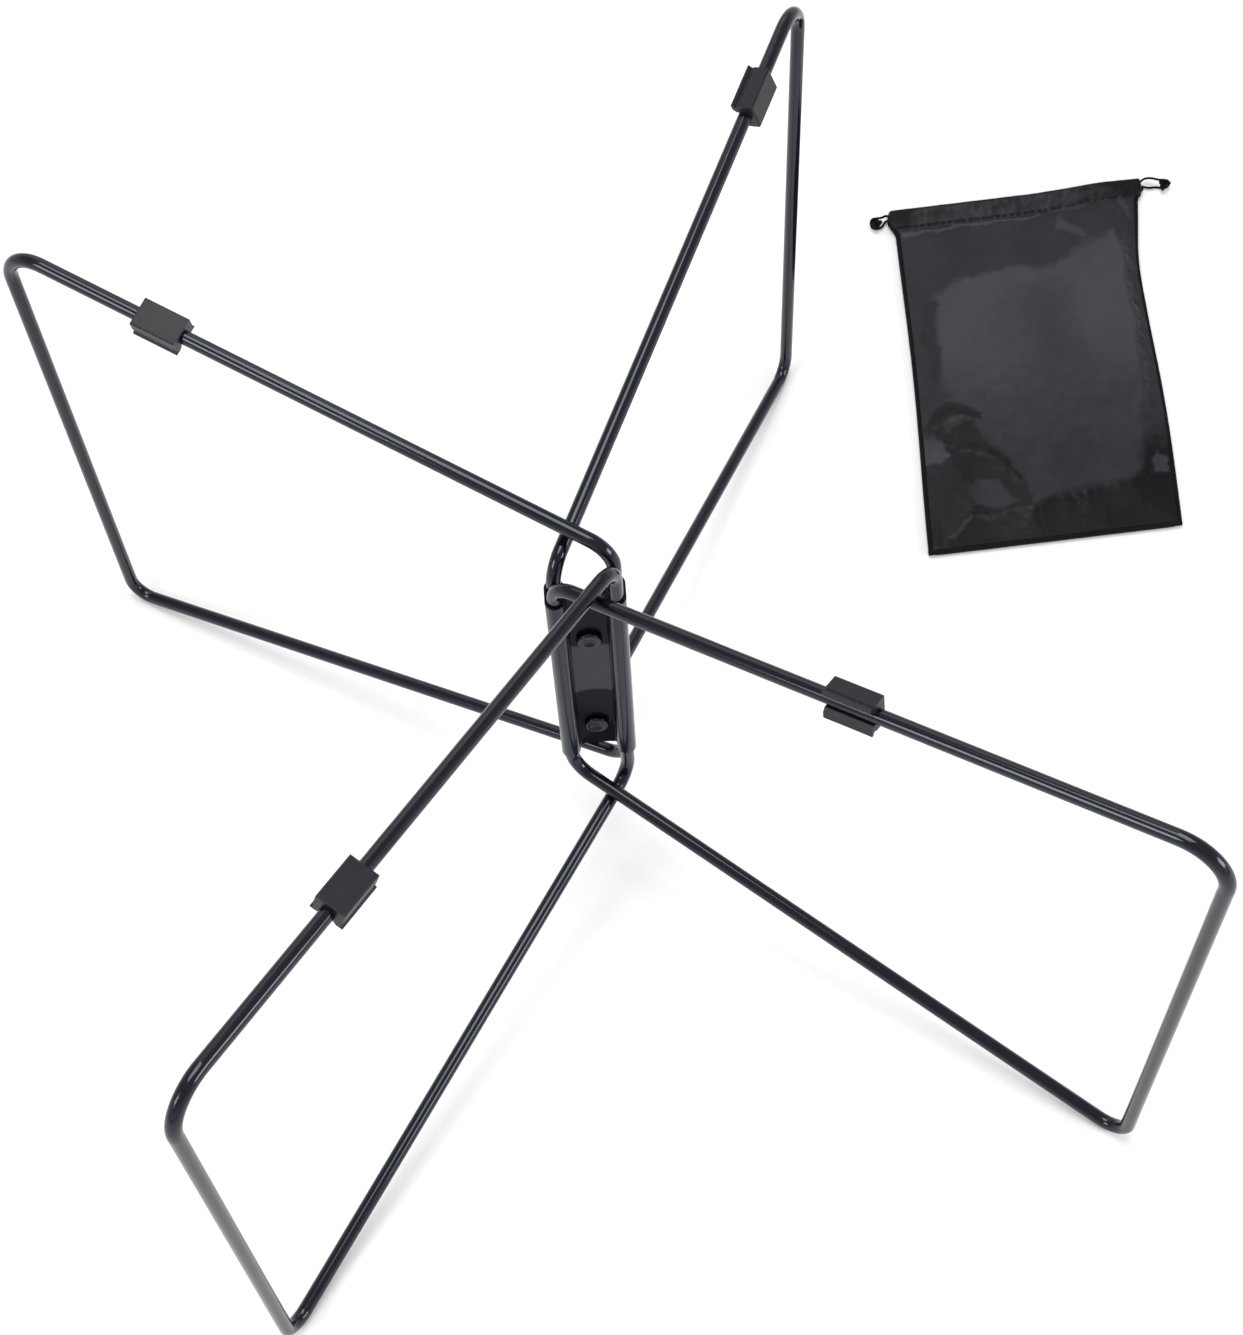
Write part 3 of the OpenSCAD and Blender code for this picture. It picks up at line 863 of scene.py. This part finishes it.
def edge_points(edge, inset):
    """Points along a side edge, from the bottom seam to just past the line of stitches."""
    top = hem_line(0 if edge is left_edge else 1) + 1.5 * MM
    points = []
    for step in range(side_steps + 1):
        y = seam_start + (top - seam_start) * step / side_steps
        z = seam_level + 0.15 * MM * uneven(y * 300, inset * 900, 2)
        points.append(bag_frame @ Vector((edge(y) + inset, y, z)))
    return points


def bottom_points():
    left, right = left_edge(0), right_edge(0)
    shares = [step / bottom_steps for step in range(bottom_steps + 1)]
    return [bag_frame @ Vector((left + (right - left) * share, seam_inset, seam_level)) for share in shares]


seam_lines = {
    "left": edge_points(left_edge, seam_inset),
    "right": edge_points(right_edge, -seam_inset),
    "bottom": bottom_points(),
}
seams = {side: seam_roll(f"bag_{side}_seam_roll", points) for side, points in seam_lines.items()}
print(len(seams), "seams sewn")

# %% [markdown]
# ## Riding and replacing
# Every soft piece moves with the carry bag's body and stands for the CAD solid that holds its space.

# %% Ride
bag_pieces = {
    front_panel: ("bag_front_panel", "bag_front_casing"),
    rear_panel: ("bag_rear_panel", "bag_rear_casing"),
    seams["left"]: ("bag_left_seam",),
    seams["right"]: ("bag_right_seam",),
    seams["bottom"]: ("bag_bottom_seam",),
}
for piece, nodes in bag_pieces.items():
    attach(piece, "carry_bag")
    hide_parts(*nodes)
for name in ("left", "right"):
    cord = cords[name]
    cord.data.materials.append(cord_braid)
    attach(cord, "carry_bag")
    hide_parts(name + "_cord_loop")
    for piece in knots[name]:
        piece.data.materials.append(cord_braid)
        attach(piece, "carry_bag")
    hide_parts(name + "_cord_knot")
    dress(name + "_drawcord", cord_braid)
    exit_point = cord_end_frame(-1 if name == "left" else 1) @ Vector((0, 0, cord_exit_height))

# %% [markdown]
# ## Floor and light
# A white floor fills the view. Its paper is a plain diffuse white, with a little glow towards the camera
# and towards glossy surfaces, so that it reads as white and the enamel mirrors it. The world is brightest
# near the horizon, and four large softboxes light the stand.

# %% Stage
mesh = bpy.data.meshes.new("floor")
made = bmesh.new()
bmesh.ops.create_grid(made, x_segments=1, y_segments=1, size=6)
made.to_mesh(mesh)
made.free()
floor = bpy.data.objects.new("floor", mesh)
floor.location.z = -0.0004
bpy.context.scene.collection.objects.link(floor)

finish = Finish("floor_paper")
camera_ray = finish.node("ShaderNodeLightPath", output="Is Camera Ray")
rays = camera_ray.socket.node.outputs
seen = camera_ray + Value(finish, rays["Is Glossy Ray"]) + Value(finish, rays["Is Transmission Ray"])
paper = finish.node("ShaderNodeBsdfDiffuse", inputs={"Color": (0.82, 0.82, 0.82, 1)})
glow = finish.node("ShaderNodeEmission", inputs={"Color": (1, 1, 1, 1), "Strength": seen * 0.1})
both = finish.node("ShaderNodeAddShader", inputs={0: paper, 1: glow})
finish.end(both)
mesh.materials.append(finish.material)

world = bpy.data.worlds.new("studio")
bpy.context.scene.world = world
world.use_nodes = True
nodes, links = world.node_tree.nodes, world.node_tree.links
nodes.clear()
background = nodes.new("ShaderNodeBackground")
background.inputs["Color"].default_value = (1, 1, 1, 1)
direction = nodes.new("ShaderNodeTexCoord")
steepness = nodes.new("ShaderNodeSeparateXYZ")
sky = nodes.new("ShaderNodeMapRange")
sky.interpolation_type = "SMOOTHSTEP"
for name, value in {"From Min": 0.1, "From Max": 0.5, "To Min": 0.85, "To Max": 0.45}.items():
    sky.inputs[name].default_value = value
links.new(direction.outputs["Generated"], steepness.inputs[0])
links.new(steepness.outputs["Z"], sky.inputs["Value"])
links.new(sky.outputs["Result"], background.inputs["Strength"])
out = nodes.new("ShaderNodeOutputWorld")
links.new(background.outputs[0], out.inputs[0])


def softbox(name, place, target, size, power):
    data = bpy.data.lights.new(name, "AREA")
    data.shape = "RECTANGLE"
    data.size, data.size_y = size
    data.energy = power
    lamp = bpy.data.objects.new(name, data)
    lamp.location = place
    lamp.rotation_euler = (Vector(target) - Vector(place)).to_track_quat("-Z", "Y").to_euler()
    lamp.visible_camera = False
    bpy.context.scene.collection.objects.link(lamp)
    return lamp


def at_angle(azimuth, elevation, distance):
    """A place round the stand's middle, by its compass angle from +X and its height angle."""
    level = math.cos(math.radians(elevation)) * distance
    return (
        math.cos(math.radians(azimuth)) * level,
        math.sin(math.radians(azimuth)) * level,
        math.sin(math.radians(elevation)) * distance + 0.1,
    )


middle = (0, 0, 0.1)
softbox("overhead", at_angle(120, 84, 1.8), middle, (1.05, 1.05), 19)
softbox("side_left", at_angle(-147, 34, 1.7), middle, (0.62, 0.62), 10)
softbox("side_right", at_angle(-25, 22, 1.7), middle, (0.9, 0.5), 12)
softbox("back", at_angle(95, 42, 1.9), middle, (1.3, 0.9), 4)
bpy.context.scene.view_settings.view_transform = "Standard"
